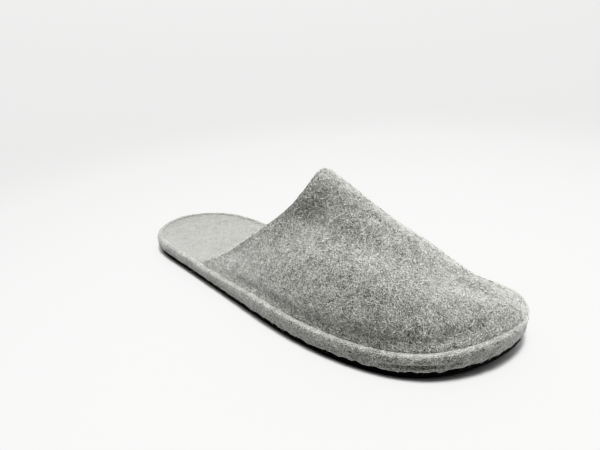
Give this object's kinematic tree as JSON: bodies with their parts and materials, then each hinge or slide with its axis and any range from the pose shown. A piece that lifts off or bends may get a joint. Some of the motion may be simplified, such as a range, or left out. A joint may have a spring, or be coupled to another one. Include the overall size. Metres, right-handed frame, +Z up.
{
  "type": "felt slipper",
  "caption": "Backless felt house slipper for the right foot, with a soft hollow upper, a felt footbed, a felt rand round the edge and a thin rubber outsole.",
  "frame": {"origin": "on the floor under the middle of the slipper's bounding box", "axes": "+X to the toe, +Y to the inner side of the foot, +Z up"},
  "size_m": [0.27, 0.1018, 0.085],
  "materials": {
    "felt_grey": "mottled grey felt, matt with short loose hairs",
    "felt_pale": "paler grey felt, matt",
    "sole_black": "black, matt"
  },
  "bodies": {
    "root": {"outsole": "sole_black", "insole": "felt_pale", "rand": "felt_grey", "upper": "felt_grey"}
  },
  "joints": []
}
